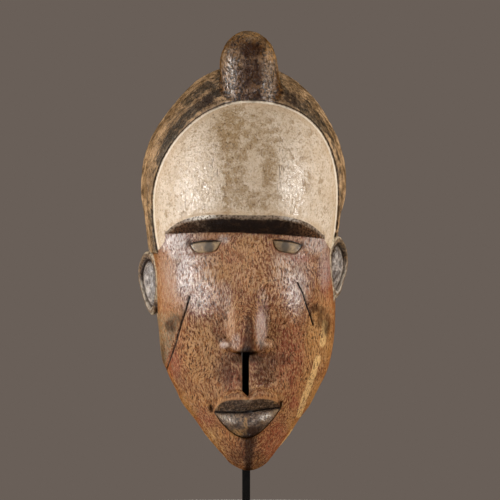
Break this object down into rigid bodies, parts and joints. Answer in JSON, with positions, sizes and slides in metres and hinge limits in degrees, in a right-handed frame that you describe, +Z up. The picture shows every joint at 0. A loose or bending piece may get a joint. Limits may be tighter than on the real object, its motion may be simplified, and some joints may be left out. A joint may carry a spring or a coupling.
{
  "type": "kongo mask",
  "caption": "Carved and painted wooden face mask, hollow and open at the back, with a knob of hair, a shelf brow and a slot under the nose, held upright on a thin rod in a steel plate.",
  "frame": {"origin": "centre of the stand plate's underside, where it rests", "axes": "+Z up along the rod, the mask faces -Y, +X to the right of someone who faces the mask"},
  "size_m": [0.1835, 0.1575, 0.4601],
  "materials": {
    "painted_wood": "carved hardwood with worn red-brown, white and black paint, rubbed to a soft gloss",
    "eye_glass": "dull glass over a pale olive ground with a darker middle",
    "black_steel": "satin black"
  },
  "bodies": {
    "root": {"mask": "painted_wood", "left_eye_inset": "eye_glass", "right_eye_inset": "eye_glass", "stand_rod": "black_steel", "stand_plate": "black_steel"}
  },
  "joints": []
}
